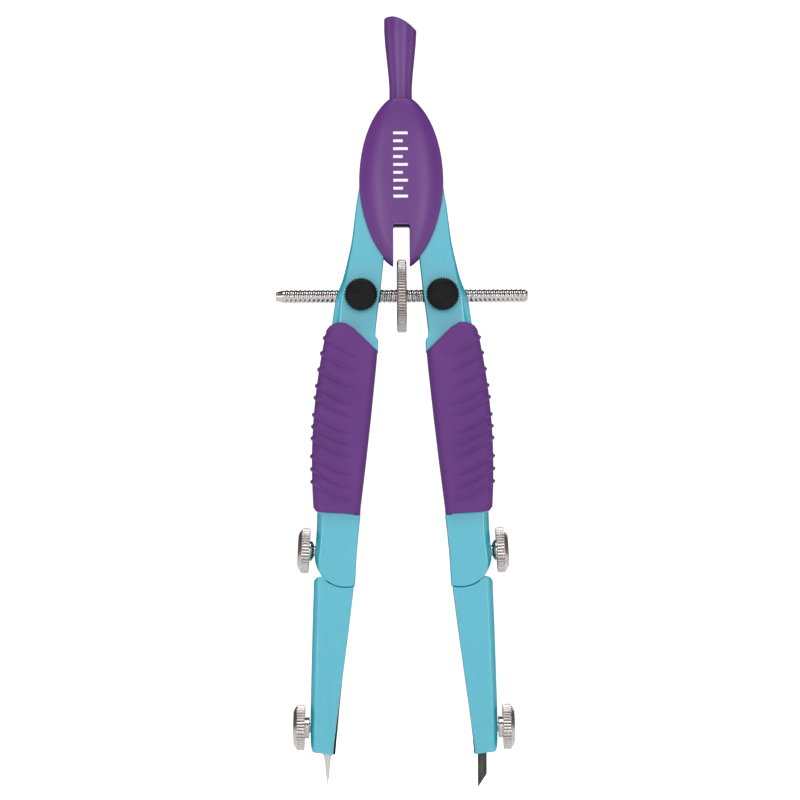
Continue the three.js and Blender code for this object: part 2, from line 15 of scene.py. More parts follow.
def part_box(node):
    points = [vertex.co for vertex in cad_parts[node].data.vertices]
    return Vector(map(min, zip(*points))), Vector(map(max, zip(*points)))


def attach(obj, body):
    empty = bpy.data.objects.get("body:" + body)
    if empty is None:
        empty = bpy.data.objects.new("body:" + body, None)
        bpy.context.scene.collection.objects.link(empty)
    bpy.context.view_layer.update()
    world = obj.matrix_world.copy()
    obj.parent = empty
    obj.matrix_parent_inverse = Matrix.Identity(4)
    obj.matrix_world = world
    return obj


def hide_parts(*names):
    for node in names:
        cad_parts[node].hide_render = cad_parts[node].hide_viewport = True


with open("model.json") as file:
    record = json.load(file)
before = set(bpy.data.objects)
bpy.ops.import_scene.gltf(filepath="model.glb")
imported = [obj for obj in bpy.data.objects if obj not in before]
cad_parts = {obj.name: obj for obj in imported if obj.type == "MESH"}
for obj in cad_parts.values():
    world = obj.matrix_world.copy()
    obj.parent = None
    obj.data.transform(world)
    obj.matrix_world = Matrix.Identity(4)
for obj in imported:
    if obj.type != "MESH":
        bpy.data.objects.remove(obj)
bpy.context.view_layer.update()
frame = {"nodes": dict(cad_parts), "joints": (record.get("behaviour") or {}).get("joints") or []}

MM = 0.001
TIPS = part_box("needle")[0].z
SIDES = (("left", -1), ("right", 1))
JOINTS = {joint["name"]: joint for joint in frame["joints"]}


def low_high(node):
    """A CAD node's corners as (x, y, h) in millimetres."""
    return [Vector((c.x / MM, c.y / MM, (c.z - TIPS) / MM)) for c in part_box(node)]


def joint_place(name):
    """A joint's point as (x, y, h) in millimetres."""
    x, y, z = JOINTS[name]["pos_m"]
    return Vector((x / MM, y / MM, (z - TIPS) / MM))


# ---------------- sizes taken from the frame
COVER_LOW, COVER_HIGH = low_high("front_head_cover")
PIVOT = joint_place("right_leg_swing")
KNEE = joint_place("right_knee_bend")
NUT = joint_place("right_nut_turn")
SPINDLE_LOW, SPINDLE_HIGH = low_high("spindle")
WHEEL_LOW, WHEEL_HIGH = low_high("centre_wheel")
BUTTON_LOW, BUTTON_HIGH = low_high("right_release_button")
CAP_LOW, CAP_HIGH = low_high("right_back_cap")
SCREW_LOW, SCREW_HIGH = low_high("right_pivot_screw")
NEEDLE_LOW, NEEDLE_HIGH = low_high("needle")
LEAD_LOW, LEAD_HIGH = low_high("lead")
LEG_HALF_DEPTH = low_high("right_lower_leg")[1].y
INSERT_HALF_DEPTH = low_high("right_tip_insert")[1].y
RUN = 0.1

# ---------------- sizes of the looks
HEAD = {"widest": 132.8, "up": 19.7, "down": 18.5}
HEAD_HALF_WIDTH = COVER_HIGH.x
COVER_INSIDE = 3.1
COVER_EDGE = 0.25
COVER_RISE = -COVER_LOW.y - COVER_INSIDE - COVER_EDGE
COVER_LIP = 0.08
COVER_JOINED = 139.7
WHEEL_SLOT = {"half": 1.83, "top": 123.75, "corner": 0.45}
PIVOT_HEAD_RADIUS = (SCREW_HIGH.x - SCREW_LOW.x) / 2
PIVOT_HEAD_DEPTH = 1.2
PIVOT_BORE = 1.6
GEAR = {"teeth": 16, "root": 3.4, "slimness": 0.85}
# A side of a gear tooth from its foot to its tip: (radius, degrees from the tooth's middle)
GEAR_FLANK = [(GEAR["root"], 9.3), (3.8, 6.9), (4.1, 4.9), (4.4, 2.6)]
HEAD_DISC_RADIUS = 5
BARREL_RADIUS = 3
KNEE_RADIUS = 6.86
KNEE_SEAM = 0.08
KNEE_SLOT_HALF = 1.1
KNEE_BORE = 1.05
CORE_INNER = [(6.7, 96.7), (7.6, 87.5), (9.4, 71.6), (10.7, 59.78)]
CORE_OUTER = [(18.1, 61.5), (18.5, 70), (17.6, 84), (16.9, 91.5), (16.1, 97)]
RIB_HEIGHTS = [98.9, 95.5, 91.9, 88.3, 85.7, 81.9, 79.3, 76.7, 72.7, 69.9, 67.1]
GRIP_HALF_DEPTH = 4.3
GRIP_SQUARENESS = 5.2
GRIP_ROUND_OVER = 0.32
GRIP_GAP = 0.12
THREAD = {"pitch": 1.0, "depth": 0.16}
WHEEL_TEETH = 76
SCREW_TEETH = 42
SCREW_TOOTH_DEPTH = 0.34
KNOB_TEETH = 38
KNOB_TOOTH_DEPTH = 0.34
KNOB_PROUD = 0.2


# ---------------- outlines
def arc(cx, ch, radius, start, end, steps):
    """Points on an arc in the front view, angles in degrees."""
    angles = [math.radians(start + (end - start) * k / steps) for k in range(steps + 1)]
    return [(cx + radius * math.cos(a), ch + radius * math.sin(a)) for a in angles]


def spline_value(a, b, c, d, t):
    """A coordinate at t between b and c, on a curve that comes from a and goes on to d."""
    square = (2 * a - 5 * b + 4 * c - d) * t ** 2
    cube = (3 * b - a - 3 * c + d) * t ** 3
    return 0.5 * (2 * b + (c - a) * t + square + cube)


def spline(points, steps):
    """A smooth curve through the points."""
    p = [points[0], *points, points[-1]]
    out = []
    for i in range(1, len(p) - 2):
        for k in range(steps):
            t = k / steps
            near = zip(p[i - 1], p[i], p[i + 1], p[i + 2])
            out.append(tuple(spline_value(a, b, c, d, t) for a, b, c, d in near))
    out.append(tuple(points[-1]))
    return out


def rounded(corners, steps=5):
    """An outline from (x, h, corner radius), with an arc at each corner that has a radius."""
    out = []
    count = len(corners)
    for i, (x, h, radius) in enumerate(corners):
        here = Vector((x, h))
        if not radius:
            out.append((x, h))
            continue
        before = Vector(corners[i - 1][:2]) - here
        after = Vector(corners[(i + 1) % count][:2]) - here
        half = before.angle(after) / 2
        reach = min(radius / math.tan(half), before.length * 0.48, after.length * 0.48)
        start = here + before.normalized() * reach
        end = here + after.normalized() * reach
        for k in range(steps + 1):
            t = k / steps
            out.append(tuple(start * (1 - t) ** 2 + here * 2 * t * (1 - t) + end * t ** 2))
    return out


def between(value, table):
    """Straight-line interpolation in a table of (key, value), keys rising."""
    if value <= table[0][0]:
        return table[0][1]
    for (k0, v0), (k1, v1) in zip(table, table[1:]):
        if value <= k1:
            return v0 + (v1 - v0) * (value - k0) / (k1 - k0)
    return table[-1][1]


def smoothstep(value):
    """0 to 1 with a gentle start and end."""
    value = min(1.0, max(0.0, value))
    return value * value * (3 - 2 * value)


# ---------------- shapes: ([(x, y, h)], [faces])
def loft(rings, closed=True):
    """A skin over rings of equally many points, with a flat cap at each end, or joined end to end."""
    around = len(rings[0])
    verts = [point for ring in rings for point in ring]
    pairs = list(zip(range(len(rings) - 1), range(1, len(rings))))
    if not closed:
        pairs.append((len(rings) - 1, 0))
    faces = []
    for a, b in pairs:
        for k in range(around):
            n = (k + 1) % around
            faces.append((a * around + k, a * around + n, b * around + n, b * around + k))
    if closed:
        faces.append(tuple(reversed(range(around))))
        faces.append(tuple(range((len(rings) - 1) * around, len(rings) * around)))
    return verts, faces


# The section of an edge, from the flat face (inset 1, depth 0) to the side (inset 0, depth 1)
EDGE_SECTION = [(1, 0), (0.86, 0.012), (0.74, 0.045), (0.64, 0.1), (0.55, 0.18), (0.3, 0.48),
                (0.1, 0.78), (0, 1)]


def inward_steps(points):
    """For each point of an anticlockwise outline, the step that moves both its sides in by about 1."""
    count = len(points)
    steps = []
    for i, p in enumerate(points):
        a = (p - points[i - 1]).normalized()
        b = (points[(i + 1) % count] - p).normalized()
        normal = Vector((-(a.y + b.y), a.x + b.x)).normalized()
        square = Vector((-a.y, a.x))
        steps.append(normal / max(0.6, normal.dot(square)))
    return steps


def slab(outline, front, back, widths, slope=1.0, deepest=9.0):
    """A plate with softened edges. widths is an edge's width from the front: one, or one a point."""
    count = len(outline)
    if isinstance(widths, (int, float)):
        widths = [widths] * count
    points = [Vector(p) for p in outline]
    area = sum(a.x * b.y - b.x * a.y for a, b in zip(points, points[1:] + points[:1]))
    if area < 0:
        points.reverse()
        widths = list(reversed(widths))
    inward = inward_steps(points)
    rings = []
    for sign, face in ((1, front), (-1, back)):
        made = []
        for inset, depth in EDGE_SECTION:
            ring = []
            for p, n, w in zip(points, inward, widths):
                deep = min(w * slope, deepest, (back - front) * 0.49)
                x, h = p + n * w * inset
                ring.append((x, face + sign * deep * depth, h))
            made.append(ring)
        rings += made if sign > 0 else made[::-1]
    return loft(rings)


def lathe(profile, sides, teeth=None):
    """A piece turned round its local z axis from (radius, along). teeth(angle) caps the radius."""
    rings = []
    for radius, along in profile:
        ring = []
        for k in range(sides):
            turn = 2 * math.pi * k / sides
            r = min(radius, teeth(turn)) if teeth else radius
            ring.append((r * math.cos(turn), r * math.sin(turn), along))
        rings.append(ring)
    return loft(rings)


def knurl(radius, depth, count):
    """The largest radius at each angle of a rim with rounded teeth and narrow grooves between them."""
    def at(turn):
        crest = abs(math.sin(turn * count / 2)) ** 0.85
        return radius - depth * (1 - crest)
    return at


def moved(shape, matrix):
    """A shape put in its place."""
    verts, faces = shape
    return [tuple(matrix @ Vector(v)) for v in verts], faces


def mirrored(shape):
    """A shape for the left side, from the one for the right."""
    verts, faces = shape
    return [(-x, y, h) for x, y, h in verts], [tuple(reversed(f)) for f in faces]


def on_side(shape, side):
    """The shape as it is on the right side (1), or its mirror image on the left (-1)."""
    return shape if side > 0 else mirrored(shape)


def standing(x, y, h):
    """A lathe's place with its axis straight up."""
    return Matrix.Translation((x, y, h))


def facing_back(x, y, h):
    """A lathe's place with its axis pointing backwards, +y."""
    return Matrix.Translation((x, y, h)) @ Matrix.Rotation(-math.pi / 2, 4, "X")


def on_joint(name):
    """A lathe's place with its axis along a joint's axis."""
    axis = Vector(JOINTS[name]["axis"])
    return Matrix.Translation(joint_place(name)) @ axis.to_track_quat("Z", "Y").to_matrix().to_4x4()


def box(low, high):
    """A plain block, for cutting."""
    (x0, y0, h0), (x1, y1, h1) = low, high
    front = [(x0, y0, h0), (x1, y0, h0), (x1, y0, h1), (x0, y0, h1)]
    back = [(x, y1, h) for x, _, h in front]
    return loft([front, back])


def prism(outline, front, back):
    """An outline's plate with square edges, for cutting and joining."""
    return loft([[(x, y, h) for x, h in outline] for y in (front, back)])


def rod(radius, start, end, place, sides=48):
    """A plain round bar along a place's axis, for bores."""
    return moved(lathe([(radius, start), (radius, end)], sides), place)


# ---------------- meshes
def mesh_object(name, shape):
    """An object from a shape, in metres and with its faces turned outwards."""
    verts, faces = shape
    mesh = bpy.data.meshes.new(name)
    mesh.from_pydata([(x * MM, y * MM, TIPS + h * MM) for x, y, h in verts], [], faces)
    bm = bmesh.new()
    bm.from_mesh(mesh)
    bmesh.ops.remove_doubles(bm, verts=bm.verts, dist=1e-7)
    bmesh.ops.recalc_face_normals(bm, faces=bm.faces)
    bm.to_mesh(mesh)
    bm.free()
    obj = bpy.data.objects.new(name, mesh)
    bpy.context.scene.collection.objects.link(obj)
    return obj


def bake_modifiers(obj):
    """Applies the object's modifiers."""
    graph = bpy.context.evaluated_depsgraph_get()
    mesh = bpy.data.meshes.new_from_object(obj.evaluated_get(graph))
    obj.modifiers.clear()
    old = obj.data
    obj.data = mesh
    bpy.data.meshes.remove(old)
    mesh.name = obj.name


def combine(obj, shape, operation="DIFFERENCE"):
    """Cuts a shape out of an object, or joins it on."""
    tool = mesh_object("tool", shape)
    step = obj.modifiers.new("cut", "BOOLEAN")
    step.operation = operation
    step.object = tool
    step.solver = "EXACT"
    bake_modifiers(obj)
    mesh = tool.data
    bpy.data.objects.remove(tool)
    bpy.data.meshes.remove(mesh)


def soften(obj, width, angle):
    """Bevels the sharp edges that cutting left."""
    step = obj.modifiers.new("soften", "BEVEL")
    step.width = width * MM
    step.segments = 2
    step.limit_method = "ANGLE"
    step.angle_limit = math.radians(angle)
    step.use_clamp_overlap = True
    bake_modifiers(obj)


def shade(obj, sharp=38):
    """Smooth shading that breaks at the sharp edges."""
    mesh = obj.data
    bm = bmesh.new()
    bm.from_mesh(mesh)
    for face in bm.faces:
        face.smooth = True
    for edge in bm.edges:
        edge.smooth = len(edge.link_faces) == 2 and edge.calc_face_angle(0) < math.radians(sharp)
    bm.to_mesh(mesh)
    bm.free()
    step = obj.modifiers.new("normals", "WEIGHTED_NORMAL")
    step.keep_sharp = True
    step.weight = 80


def piece(obj, material, body, slot, *replaced, sharp=38):
    """Finishes an object as a piece that rides on a body and stands for CAD nodes."""
    shade(obj, sharp)
    obj.data.materials.clear()
    obj.data.materials.append(material)
    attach(obj, body)
    if replaced:
        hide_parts(*replaced)
    return obj


# ---------------- materials
class Nodes:
    """A material's node tree, with short calls that add and join nodes."""

    def __init__(self, name):
        self.material = bpy.data.materials.new(name)
        self.material.use_nodes = True
        self.tree = self.material.node_tree
        self.shader = self.tree.nodes["Principled BSDF"]
        self.place = self.add("ShaderNodeTexCoord").outputs["Object"]

    def add(self, kind, **settings):
        node = self.tree.nodes.new(kind)
        for key, value in settings.items():
            setattr(node, key, value)
        return node

    def join(self, source, target):
        self.tree.links.new(source, target)

    def set(self, **values):
        for key, value in values.items():
            self.shader.inputs[key.replace("_", " ")].default_value = value

    def noise(self, scale, detail=2.0, stretch=(1, 1, 1)):
        """A noise whose features are 1/scale metres, stretched along an axis by a factor below 1."""
        mapping = self.add("ShaderNodeMapping")
        mapping.inputs["Scale"].default_value = stretch
        node = self.add("ShaderNodeTexNoise")
        node.inputs["Scale"].default_value = scale
        node.inputs["Detail"].default_value = detail
        self.join(self.place, mapping.inputs["Vector"])
        self.join(mapping.outputs["Vector"], node.inputs["Vector"])
        return node.outputs["Fac"]

    def cells(self, scale):
        """Random values in small cells of 1/scale metres."""
        node = self.add("ShaderNodeTexVoronoi")
        node.inputs["Scale"].default_value = scale
        self.join(self.place, node.inputs["Vector"])
        split = self.add("ShaderNodeSeparateColor")
        self.join(node.outputs["Color"], split.inputs["Color"])
        return split.outputs["Red"]

    def ramp(self, value, stops):
        """A colour ramp from (position, colour) stops."""
        node = self.add("ShaderNodeValToRGB")
        ends = node.color_ramp.elements
        while len(ends) < len(stops):
            ends.new(0.5)
        for element, (position, colour) in zip(ends, stops):
            element.position = position
            element.color = (*colour, 1)
        self.join(value, node.inputs["Fac"])
        return node.outputs["Color"]

    def span(self, value, low, high, start=0.25, end=0.75):
        """The value's middle range mapped to low..high."""
        node = self.add("ShaderNodeMapRange")
        for key, number in (("From Min", start), ("From Max", end), ("To Min", low), ("To Max", high)):
            node.inputs[key].default_value = number
        self.join(value, node.inputs["Value"])
        return node.outputs["Result"]

    def math(self, operation, a, b=None):
        node = self.add("ShaderNodeMath", operation=operation)
        for socket, value in zip(node.inputs, (a, b)):
            if value is None:
                continue
            if isinstance(value, (int, float)):
                socket.default_value = value
            else:
                self.join(value, socket)
        return node.outputs["Value"]

    def mix(self, factor, a, b):
        node = self.add("ShaderNodeMix", data_type="RGBA")
        sockets = [s for s in node.inputs if s.type == "RGBA"]
        self.join(factor, node.inputs["Factor"])
        for socket, value in zip(sockets, (a, b)):
            if isinstance(value, tuple):
                socket.default_value = (*value, 1)
            else:
                self.join(value, socket)
        return next(s for s in node.outputs if s.type == "RGBA")

    def bump(self, height, strength, distance):
        node = self.add("ShaderNodeBump")
        node.inputs["Strength"].default_value = strength
        node.inputs["Distance"].default_value = distance * MM
        self.join(height, node.inputs["Height"])
        self.join(node.outputs["Normal"], self.shader.inputs["Normal"])

    def colour(self, output):
        self.join(output, self.shader.inputs["Base Color"])

    def roughness(self, output):
        self.join(output, self.shader.inputs["Roughness"])


def violet_plastic(name="violet_plastic", printed=False):
    """Satin moulded plastic: faint cloudiness, a fine grain, and plain white marks if printed."""
    m = Nodes(name)
    cloud = m.ramp(m.noise(90, 3), [(0.3, (0.112, 0.026, 0.19)), (0.7, (0.13, 0.033, 0.215))])
    if printed:
        cloud = m.mix(print_mask(m), cloud, (0.86, 0.86, 0.87))
    m.colour(cloud)
    m.roughness(m.span(m.noise(700, 4), 0.35, 0.41))
    m.bump(m.noise(5200, 3), 0.16, 0.02)
    m.set(Specular_IOR_Level=0.5)
    return m.material


# The row of marks on the front cover, from its lowest bar's lower edge upwards
PRINT = {"low": 129.4, "pitch": 1.75, "count": 9, "bar": 0.62, "left": -1.75, "short": 0.35, "long": 1.45}


def print_mask(m):
    """1 on a row of bars up the head, every other one longer, like the marks of a plain scale."""
    split = m.add("ShaderNodeSeparateXYZ")
    m.join(m.place, split.inputs["Vector"])
    low = TIPS + PRINT["low"] * MM
    x = m.math("DIVIDE", split.outputs["X"], MM)
    h = m.math("DIVIDE", m.math("SUBTRACT", split.outputs["Z"], low), MM * PRINT["pitch"])
    last = PRINT["count"] - 0.5
    inside = m.math("MULTIPLY", m.math("GREATER_THAN", h, 0), m.math("LESS_THAN", h, last))
    bar = m.math("LESS_THAN", m.math("FRACT", h), PRINT["bar"] / PRINT["pitch"])
    odd = m.math("GREATER_THAN", m.math("FRACT", m.math("MULTIPLY", h, 0.5)), 0.5)
    end = m.math("SUBTRACT", PRINT["long"], m.math("MULTIPLY", odd, PRINT["long"] - PRINT["short"]))
    wide = m.math("MULTIPLY", m.math("GREATER_THAN", x, PRINT["left"]), m.math("LESS_THAN", x, end))
    return m.math("MULTIPLY", m.math("MULTIPLY", inside, bar), wide)


def soft_grip():
    """Soft-touch rubber: matt, slightly uneven, with a fine dusty sheen."""
    m = Nodes("soft_grip")
    m.colour(m.ramp(m.noise(130, 4), [(0.3, (0.108, 0.027, 0.184)), (0.7, (0.13, 0.034, 0.212))]))
    m.roughness(m.span(m.noise(900, 4), 0.46, 0.56))
    m.bump(m.noise(6500, 4), 0.3, 0.025)
    m.set(Specular_IOR_Level=0.27, Sheen_Weight=0.03, Sheen_Roughness=0.5)
    return m.material


def turquoise_lacquer():
    """Metallic lacquer: tiny flakes that differ in tone, under a hard glossy coat."""
    m = Nodes("turquoise_lacquer")
    flakes = m.cells(11000)
    tones = [(0.0, (0.0, 0.36, 0.49)), (0.7, (0.0, 0.4, 0.53)), (1.0, (0.06, 0.48, 0.6))]
    m.colour(m.ramp(flakes, tones))
    m.roughness(m.span(m.noise(2500, 3), 0.38, 0.45))
    m.bump(flakes, 0.1, 0.012)
    m.set(Specular_IOR_Level=0.3, Coat_Weight=1.0, Coat_IOR=1.95, Coat_Roughness=0.3)
    return m.material


def bright_metal(name, colour, roughness, brushed=(1, 1, 1)):
    """Plated or ground metal: faint stains, and fine marks along one axis."""
    m = Nodes(name)
    dark = tuple(c * 0.88 for c in colour)
    m.colour(m.ramp(m.noise(260, 4), [(0.35, dark), (0.65, colour)]))
    m.roughness(m.span(m.noise(1500, 4, brushed), roughness * 0.75, roughness * 1.3))
    m.bump(m.noise(7000, 3, brushed), 0.08, 0.012)
    m.set(Metallic=1.0)
    return m.material


def black_plastic():
    """Satin black plastic with a fine eroded grain."""
    m = Nodes("black_plastic")
    m.colour(m.ramp(m.noise(500, 3), [(0.35, (0.006, 0.006, 0.006)), (0.65, (0.01, 0.01, 0.01))]))
    m.roughness(m.span(m.noise(1200, 3), 0.42, 0.56))
    m.bump(m.noise(5200, 3), 0.22, 0.02)
    m.set(Specular_IOR_Level=0.11)
    return m.material


def graphite():
    """Drawing lead: dull grey-black with a burnished streak along the rod."""
    m = Nodes("graphite")
    dull = (0.03, 0.03, 0.027)
    burnished = (0.07, 0.07, 0.062)
    m.colour(m.ramp(m.noise(1600, 4, (1, 1, 0.2)), [(0.35, dull), (0.65, burnished)]))
    m.roughness(m.span(m.noise(2600, 3), 0.38, 0.6))
    m.bump(m.noise(6000, 4), 0.3, 0.03)
    m.set(Metallic=0.25)
    return m.material


def pale_floor():
    """A smooth painted board, a little uneven."""
    m = Nodes("pale_floor")
    m.colour(m.ramp(m.noise(6, 2), [(0.3, (0.9, 0.9, 0.9)), (0.7, (0.93, 0.93, 0.93))]))
    m.roughness(m.span(m.noise(40, 2), 0.6, 0.7))
    m.set(Specular_IOR_Level=0.2, Emission_Color=(1, 1, 1, 1))
    seen = m.add("ShaderNodeLightPath").outputs["Is Camera Ray"]
    m.join(m.math("ADD", m.math("MULTIPLY", seen, 0.6), 0.4), m.shader.inputs["Emission Strength"])
    return m.material


VIOLET = violet_plastic()
VIOLET_PRINTED = violet_plastic("violet_plastic_printed", printed=True)
SOFT = soft_grip()
LACQUER = turquoise_lacquer()
NICKEL = bright_metal("nickel", (0.58, 0.54, 0.525), 0.24)
# A darker copy of the nickel for the wheel: painted shade standing in for the shade of its knurling
SHADED_WHEEL_NICKEL = bright_metal("shaded_wheel_nickel", (0.45, 0.41, 0.395), 0.28)
BRASS = bright_metal("brass", (0.56, 0.4, 0.16), 0.3)
STEEL = bright_metal("steel", (0.62, 0.6, 0.58), 0.2, brushed=(1, 1, 0.15))
BLACK = black_plastic()
GRAPHITE = graphite()


# ---------------- head
def head_half_width(h):
    """Half the head's width at a height: two half ovals, fuller above than below."""
    above = h > HEAD["widest"]
    way = min(1.0, abs(h - HEAD["widest"]) / (HEAD["up"] if above else HEAD["down"]))
    lengthwise, across = (2.1, 1.7) if above else (1.7, 1.9)
    return HEAD_HALF_WIDTH * max(0.0, 1 - way ** lengthwise) ** (1 / across)


def head_heights(low, high, count):
    """Heights that crowd towards both ends."""
    middle = (low + high) / 2
    return [middle - (high - low) / 2 * math.cos(math.pi * i / (count - 1)) for i in range(count)]


def cover_shape(face):
    """One domed cover: a flat inside, a short edge, and a dome that is flat along its middle."""
    steps = 48
    rings = []
    edge = COVER_INSIDE + COVER_EDGE
    for h in head_heights(COVER_LOW.z, COVER_HIGH.z, 110):
        half = max(0.05, head_half_width(h))
        rise = COVER_RISE * (half / HEAD_HALF_WIDTH) ** 0.7
        ring = [(half, COVER_INSIDE, h), (half, edge - COVER_LIP, h)]
        for k in range(steps + 1):
            across = math.cos(math.pi * k / steps)
            ring.append((half * across, edge + rise * (1 - abs(across) ** 3.2), h))
        ring += [(-half, edge - COVER_LIP, h), (-half, COVER_INSIDE, h)]
        rings.append([(x, face * y, h) for x, y, h in ring])
    return loft(rings)


def joining_wall(face):
    """The block that joins the covers above the legs' heads."""
    above = [h for h in head_heights(COVER_LOW.z, COVER_HIGH.z, 60) if h > COVER_JOINED]
    heights = [COVER_JOINED, *above]
    side = [(max(0.3, head_half_width(h) - 0.12), h) for h in heights]
    outline = side + [(-x, h) for x, h in reversed(side)]
    low, high = (-COVER_INSIDE - 0.1, -0.03) if face < 0 else (0.03, COVER_INSIDE + 0.1)
    return slab(outline, low, high, 0.05)


def wheel_slot():
    """The slot up from the head's lower end, in which the centre wheel turns."""
    half, top, corner = WHEEL_SLOT["half"], WHEEL_SLOT["top"], WHEEL_SLOT["corner"]
    outline = rounded([(-half, 100, 0), (half, 100, 0), (half, top, corner), (-half, top, corner)])
    return prism(outline, -12, 12)


def screw_sink(side):
    """The bore and sunk seat for a pivot screw in the rear cover."""
    sink = PIVOT_HEAD_RADIUS + RUN
    bottom = SCREW_HIGH.y - PIVOT_HEAD_DEPTH
    bore = [(PIVOT_BORE, -3), (PIVOT_BORE, bottom)]
    seat = [(sink, bottom), (sink, 4.6), (sink + 2.4, 7)]
    return moved(lathe([*bore, *seat], 48), facing_back(side * PIVOT.x, 0, PIVOT.z))


def head_cover(name, face, material):
    """One of the two covers: the front one (-1), or the rear one (1) with the screws' seats."""
    obj = mesh_object(f"{name}_cover_shell", cover_shape(face))
    tang_room = box((-2.3, -2.95, 120), (2.3, 2.95, 151.4))
    combine(obj, joining_wall(face), "UNION")
    combine(obj, tang_room)
    combine(obj, wheel_slot())
    if face > 0:
        for side in (-1, 1):
            combine(obj, screw_sink(side))
    soften(obj, 0.16, 42)
    return piece(obj, material, "head", "violet_plastic", f"{name}_head_cover")


# The handle's half width, by height
HANDLE_SECTIONS = [(151.3, 2.52), (154.2, 2.5), (157, 2.7), (160.3, 3.04), (164, 3.42), (167, 3.6),
                   (171, 3.6)]
HANDLE_FLATNESS = 0.9
# The crown's height, from its left end to its right
CROWN = [(-3.8, 169.66), (-2.9, 169.93), (-2, 169.98), (-1, 169.82), (0, 169.45), (1.2, 168.85),
         (2.4, 168.0), (3.0, 167.5), (3.8, 166.85)]
CROWN_EDGE = 0.28


def crown(x):
    """The height of the handle's crown, from side to side."""
    return between(x, CROWN)


def handle_ring(t, s):
    """A ring round the handle: t is how far up it is, and s how far it has turned in at the crown."""
    around = 72
    low = HANDLE_SECTIONS[0][0]
    turned_in = math.radians(90 * s)
    ring = []
    for k in range(around):
        turn = 2 * math.pi * k / around
        c, d = math.cos(turn), math.sin(turn)
        top = crown(3.5 * c) - CROWN_EDGE
        h = low + (top - low) * t + CROWN_EDGE * math.sin(turned_in)
        half = between(h, HANDLE_SECTIONS) - CROWN_EDGE * (1 - math.cos(turned_in))
        ring.append((half * c, half * HANDLE_FLATNESS * d, h))
    return ring


def handle():
    """The finger handle: an oval stem that widens upwards to a slanting, softly curved crown."""
    levels = 70
    rings = [handle_ring(i / levels, 0.0) for i in range(levels + 1)]
    rings += [handle_ring(1, s) for s in (0.1, 0.3, 0.6, 1.0)]
    crown_rim = rings[-1]
    for share in (0.8, 0.55, 0.3, 0.1):
        rings.append([(x * share, y * share, crown(x * share)) for x, y, _ in crown_rim])
    obj = mesh_object("finger_handle", loft(rings))
    half, low, high = 2.2, 140, 151.5
    tang = rounded([(-half, low, 0.3), (half, low, 0.3), (half, high, 0), (-half, high, 0)])
    combine(obj, slab(tang, -2.9, 2.9, 0.15), "UNION")
    return piece(obj, VIOLET, "head", "violet_plastic", "handle", sharp=50)


def pivot_screw(name, side):
    """A slotted shoulder screw, seen from behind."""
    x = side * PIVOT.x
    radius = PIVOT_HEAD_RADIUS
    top = SCREW_HIGH.y
    seat = top - PIVOT_HEAD_DEPTH
    shank = [(1.5, SCREW_LOW.y), (1.5, seat)]
    side_wall = [(radius - 0.1, seat), (radius, top - 1.1), (radius, top - 0.22)]
    face = [(radius - 0.06, top - 0.1), (radius - 0.22, top), (0.4, top + 0.02)]
    shape = moved(lathe([*shank, *side_wall, *face], 72), facing_back(x, 0, PIVOT.z))
    obj = mesh_object(f"{name}_pivot_bolt", shape)
    combine(obj, box((x - 3, top - 0.5, PIVOT.z - 0.3), (x + 3, top + 1, PIVOT.z + 0.3)))
    return piece(obj, NICKEL, "head", "nickel", f"{name}_pivot_screw", sharp=30)


# ---------------- legs
def toothed_edge(side):
    """The toothed edge of a leg's head, downwards. The two heads' teeth are half a pitch apart."""
    pitch = 360 / GEAR["teeth"]
    shifts = (2, 1, 0, -1) if side > 0 else (2.5, 1.5, 0.5, -0.5, -1.5)
    tooth = [(r, -a) for r, a in GEAR_FLANK] + [(r, a) for r, a in reversed(GEAR_FLANK)]
    out = []
    for shift in shifts:
        centre = 180 - shift * pitch
        for r, a in tooth:
            turn = math.radians(centre + a * GEAR["slimness"])
            out.append((PIVOT.x + r * math.cos(turn), PIVOT.z + r * math.sin(turn)))
    return out


# The width of the legs' outer edge in the front view, by height
UPPER_EDGE = [(46, 0.3), (48, 1.0), (52, 1.5), (60.2, 1.5), (61.2, 0.3), (98, 0.3), (101, 2.2),
              (104, 2.2), (108, 1.5), (115, 0.7), (126, 0.35)]
KNEE_EDGE = [(46, 0.2), (49, 0.9), (51, 1.5)]
LOWER_EDGE = [(6.5, 1.1), (20, 1.3), (43, 1.5), (45.2, 1.2), (46.2, 0.3)]


def upper_leg_outline(side):
    """(x, h, edge width) round the leg's front view."""
    disc = arc(PIVOT.x, PIVOT.z, HEAD_DISC_RADIUS, 0, 80, 10)
    root = [arc(PIVOT.x, PIVOT.z, GEAR["root"], 80, 80, 1)[0]]
    inner = spline([(2.3, 131.26), (3.98, 116), (4.76, 108.7), (5.31, 104.8), (5.8, 100.6)], 5)
    hook = rounded([(5.95, 99.3, 0.5), (5.24, 98.2, 0.35), (5.28, 95.6, 0)])
    core = [*CORE_INNER, (9.33, 59.7)]
    shin = [(9.75, 56), (10.2, 51.2)]
    knee = arc(KNEE.x, KNEE.z, KNEE_RADIUS, -106.8, 0, 26)
    outer = spline([(19.3, 52.6), (19.0, 56), (18.87, 59.6), (18.87, 61.1)], 4)
    shoulder = spline([(15.5, 101), (15.3, 102.6), (14.75, 106.2), (14.0, 109), (12.88, 112),
                       (11.75, 116.5), (10.9, 120.6), (10.07, 127.1), (9.4, 131.3)], 5)
    out = [(x, h, 0.22) for x, h in [*disc, *root, *toothed_edge(side), *inner, *hook, *core, *shin]]
    out += [(x, h, between(h, KNEE_EDGE) if x > KNEE.x else 0.2) for x, h in knee]
    out += [(x, h, between(h, UPPER_EDGE)) for x, h in [*outer, *CORE_OUTER, *shoulder]]
    return out


def leg_bar(name, outline, side):
    """A leg's bar from the (x, h, edge width) of its outline."""
    points = [(x, h) for x, h, _ in outline]
    widths = [width for *_, width in outline]
    shape = slab(points, -LEG_HALF_DEPTH, LEG_HALF_DEPTH, widths, slope=1.35, deepest=1.3)
    return mesh_object(name, on_side(shape, side))


